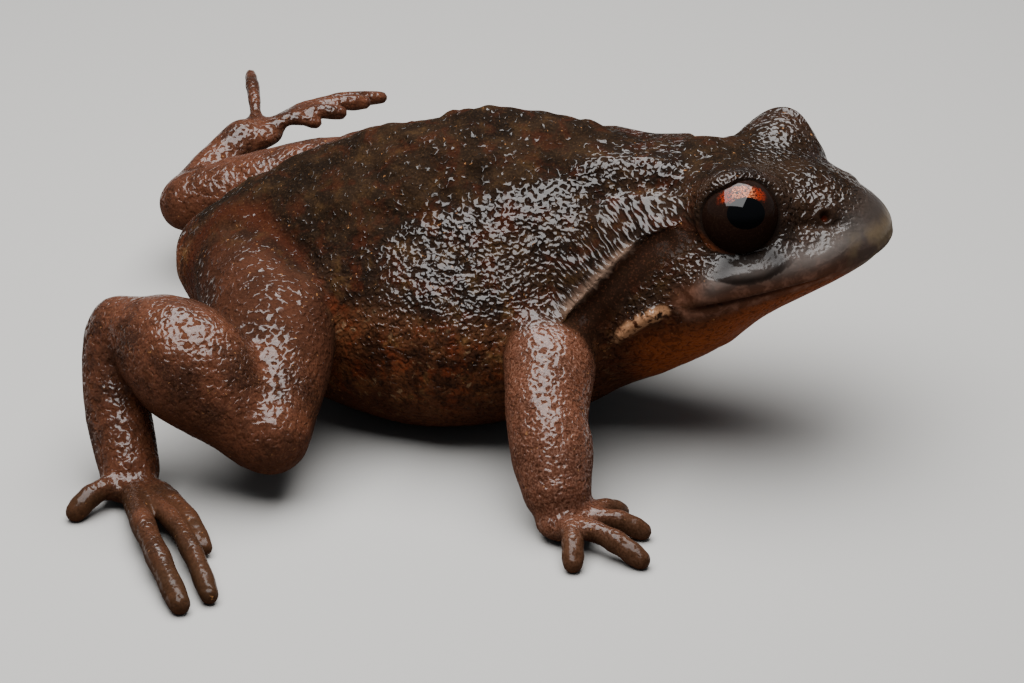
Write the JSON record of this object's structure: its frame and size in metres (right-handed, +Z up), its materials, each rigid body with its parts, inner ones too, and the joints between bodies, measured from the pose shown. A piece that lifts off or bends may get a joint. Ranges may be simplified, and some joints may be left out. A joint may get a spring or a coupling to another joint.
{
  "type": "mountain frog model",
  "caption": "Still life-size model of a small plump ground frog sitting on its belly, one hind foot laid out and one raised, in parted body pieces.",
  "frame": {"origin": "on the floor, in the middle of the small flat on which the belly rests", "axes": "+X towards the snout, +Y to the frog's left, +Z up"},
  "size_m": [0.0339, 0.0406, 0.013],
  "materials": {
    "body_skin": "wet and glossy over fine wrinkles",
    "limb_skin": "wet and glossy over fine wrinkles",
    "eye": "polished"
  },
  "bodies": {
    "root": {"torso": "body_skin", "head": "body_skin", "eye_right": "eye", "eye_left": "eye", "upper_arm_right": "limb_skin", "upper_arm_left": "limb_skin", "forearm_right": "limb_skin", "forearm_left": "limb_skin", "hand_right": "limb_skin", "hand_left": "limb_skin", "thigh_right": "limb_skin", "thigh_left": "limb_skin", "shank_right": "limb_skin", "shank_left": "limb_skin", "tarsus_right": "limb_skin", "tarsus_left": "limb_skin", "foot_right": "limb_skin", "foot_left": "limb_skin"}
  },
  "joints": []
}
